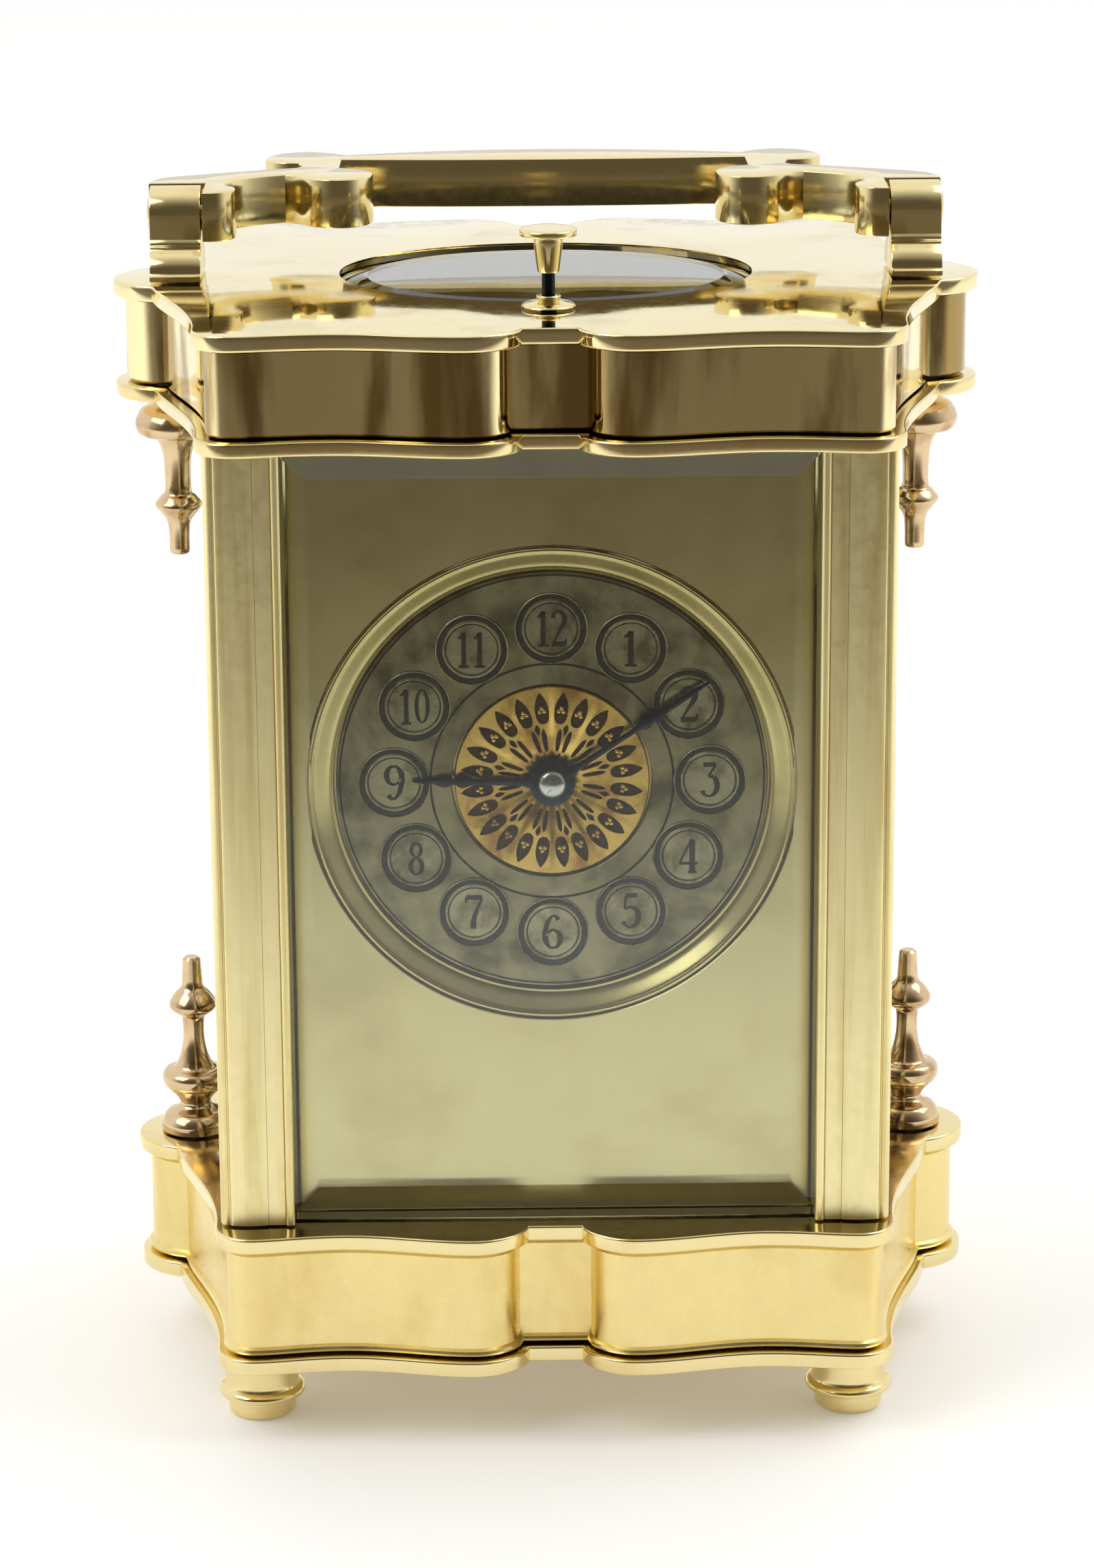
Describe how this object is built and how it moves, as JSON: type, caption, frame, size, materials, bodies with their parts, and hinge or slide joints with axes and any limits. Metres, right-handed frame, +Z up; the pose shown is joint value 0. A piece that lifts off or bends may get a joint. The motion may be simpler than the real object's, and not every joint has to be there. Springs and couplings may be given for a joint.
{
  "type": "repeater carriage clock",
  "caption": "Brass and glass carriage clock with a serpentine case, a folding handle and a repeat button on top.",
  "frame": {"origin": "on the floor under the middle of the case", "axes": "+Z up, the dial faces -Y, +X to the right of someone who reads the dial"},
  "size_m": [0.1076, 0.0824, 0.1513],
  "materials": {
    "polished_brass": "polished, lightly aged",
    "satin_brass": "satin, aged",
    "rose_brass": "polished, rosier",
    "gilt": "gilt, matt",
    "silvered": "silvered, tarnished",
    "blued_steel": "blued",
    "bright_steel": "polished",
    "clear_glass": "clear, bevelled"
  },
  "bodies": {
    "case": {"base_lower_moulding": "polished_brass", "base_frieze": "polished_brass", "base_upper_moulding": "polished_brass", "foot_front_left": "polished_brass", "foot_front_right": "polished_brass", "foot_rear_left": "polished_brass", "foot_rear_right": "polished_brass", "pillar_front_left": "satin_brass", "pillar_front_right": "satin_brass", "pillar_rear_left": "satin_brass", "pillar_rear_right": "satin_brass", "cornice_lower_moulding": "polished_brass", "cornice_frieze": "polished_brass", "top_plate": "polished_brass", "glass_front": "clear_glass", "glass_left": "clear_glass", "glass_right": "clear_glass", "glass_top": "clear_glass", "finial_standing_left": "rose_brass", "finial_standing_right": "rose_brass", "finial_hanging_left": "rose_brass", "finial_hanging_right": "rose_brass", "handle_bracket_left": "polished_brass", "handle_bracket_right": "polished_brass", "handle_screw_left": "blued_steel", "handle_screw_right": "blued_steel", "button_collar": "polished_brass", "dial_mask": "satin_brass", "dial_bezel": "polished_brass", "chapter_ring": "silvered", "dial_centre": "gilt", "dial_plate": "satin_brass", "movement_front_plate": "polished_brass", "movement_back_plate": "polished_brass", "platform": "gilt", "balance_cock": "gilt", "gong": "blued_steel", "gong_stand": "polished_brass"},
    "handle_body": {"handle": "polished_brass"},
    "button_body": {"repeat_button": "polished_brass"},
    "lever_body": {"repeat_lever": "bright_steel"},
    "door_body": {"door_frame": "polished_brass", "door_glass": "clear_glass", "door_knob": "polished_brass"},
    "minute_body": {"centre_wheel": "satin_brass", "minute_hand": "blued_steel", "hand_collet": "bright_steel"},
    "hour_body": {"hour_hand": "blued_steel"},
    "motion_body": {"minute_wheel": "satin_brass"},
    "going_barrel_body": {"going_barrel": "satin_brass"},
    "going_arbor_body": {"going_winding_arbor": "bright_steel"},
    "strike_barrel_body": {"strike_barrel": "satin_brass"},
    "strike_arbor_body": {"strike_winding_arbor": "bright_steel"},
    "third_body": {"third_wheel": "satin_brass"},
    "contrate_body": {"contrate_wheel": "satin_brass"},
    "escape_body": {"escape_wheel": "bright_steel"},
    "balance_body": {"balance_wheel": "gilt"},
    "pin_body": {"strike_pin_wheel": "satin_brass"},
    "fly_body": {"strike_fly": "polished_brass"},
    "hammer_body": {"hammer": "bright_steel"}
  },
  "joints": [
    {"name": "handle_swing", "type": "hinge", "parent": "case", "child": "handle_body", "pos_m": [0, 0, 0.148], "axis": [1, 0, 0], "range_deg": [0, 150]},
    {"name": "button_press", "type": "slide", "parent": "case", "child": "button_body", "axis": [0, 0, 1], "range_m": [-0.0025, 0], "stiffness_N_per_m": 600},
    {"name": "lever_turn", "type": "hinge", "parent": "case", "child": "lever_body", "pos_m": [0.012, -0.0226, 0.105], "axis": [0, -1, 0], "range_deg": [0, 20]},
    {"name": "door_swing", "type": "hinge", "parent": "case", "child": "door_body", "pos_m": [0.0299, 0.034, 0.0764], "axis": [0, 0, -1], "range_deg": [0, 90]},
    {"name": "third_spin", "type": "hinge", "parent": "case", "child": "third_body", "pos_m": [0.00883, 0.0015, 0.09356], "axis": [0, 1, 0], "continuous": true},
    {"name": "minute_spin", "type": "hinge", "parent": "case", "child": "minute_body", "pos_m": [0, -0.03, 0.0827], "axis": [0, 1, 0], "continuous": true},
    {"name": "hour_spin", "type": "hinge", "parent": "case", "child": "hour_body", "pos_m": [0, -0.0295, 0.0827], "axis": [0, 1, 0], "continuous": true},
    {"name": "motion_spin", "type": "hinge", "parent": "case", "child": "motion_body", "pos_m": [-0.01015, -0.0218, 0.07797], "axis": [0, 1, 0], "continuous": true},
    {"name": "going_barrel_spin", "type": "hinge", "parent": "case", "child": "going_barrel_body", "pos_m": [0.0152, -0.016, 0.0651], "axis": [0, 1, 0], "continuous": true},
    {"name": "contrate_spin", "type": "hinge", "parent": "case", "child": "contrate_body", "pos_m": [-0.00002, -0.0025, 0.09863], "axis": [0, 1, 0], "continuous": true},
    {"name": "escape_spin", "type": "hinge", "parent": "case", "child": "escape_body", "pos_m": [-0.00002, -0.00555, 0.112], "axis": [0, 0, 1], "continuous": true},
    {"name": "balance_swing", "type": "hinge", "parent": "case", "child": "balance_body", "pos_m": [0, 0.0068, 0.1145], "axis": [0, 0, 1], "range_deg": [-140, 140]},
    {"name": "strike_barrel_spin", "type": "hinge", "parent": "case", "child": "strike_barrel_body", "pos_m": [-0.0152, 0.009, 0.0651], "axis": [0, 1, 0], "continuous": true},
    {"name": "pin_wheel_spin", "type": "hinge", "parent": "case", "child": "pin_body", "pos_m": [-0.01998, -0.0025, 0.0878], "axis": [0, 1, 0], "continuous": true},
    {"name": "fly_spin", "type": "hinge", "parent": "case", "child": "fly_body", "pos_m": [-0.0146, 0.0055, 0.0947], "axis": [0, 1, 0], "continuous": true},
    {"name": "going_winding", "type": "hinge", "parent": "case", "child": "going_arbor_body", "pos_m": [0.0152, 0.015, 0.0651], "axis": [0, 1, 0], "continuous": true},
    {"name": "strike_winding", "type": "hinge", "parent": "case", "child": "strike_arbor_body", "pos_m": [-0.0152, 0.015, 0.0651], "axis": [0, 1, 0], "continuous": true},
    {"name": "hammer_swing", "type": "hinge", "parent": "case", "child": "hammer_body", "pos_m": [-0.028, 0.0223, 0.092], "axis": [0, -1, 0], "range_deg": [0, 20]}
  ],
  "couplings": [
    {"joint": "lever_turn", "follows": "button_press", "rad_per_m": -83},
    {"joint": "minute_spin", "follows": "third_spin", "ratio": -0.125},
    {"joint": "hour_spin", "follows": "third_spin", "ratio": -0.010417},
    {"joint": "motion_spin", "follows": "third_spin", "ratio": 0.041667},
    {"joint": "going_barrel_spin", "follows": "third_spin", "ratio": 0.015625},
    {"joint": "contrate_spin", "follows": "third_spin", "ratio": -7.5},
    {"joint": "escape_spin", "follows": "third_spin", "ratio": 22.5},
    {"joint": "pin_wheel_spin", "follows": "strike_barrel_spin", "ratio": -8},
    {"joint": "fly_spin", "follows": "strike_barrel_spin", "ratio": 48}
  ]
}
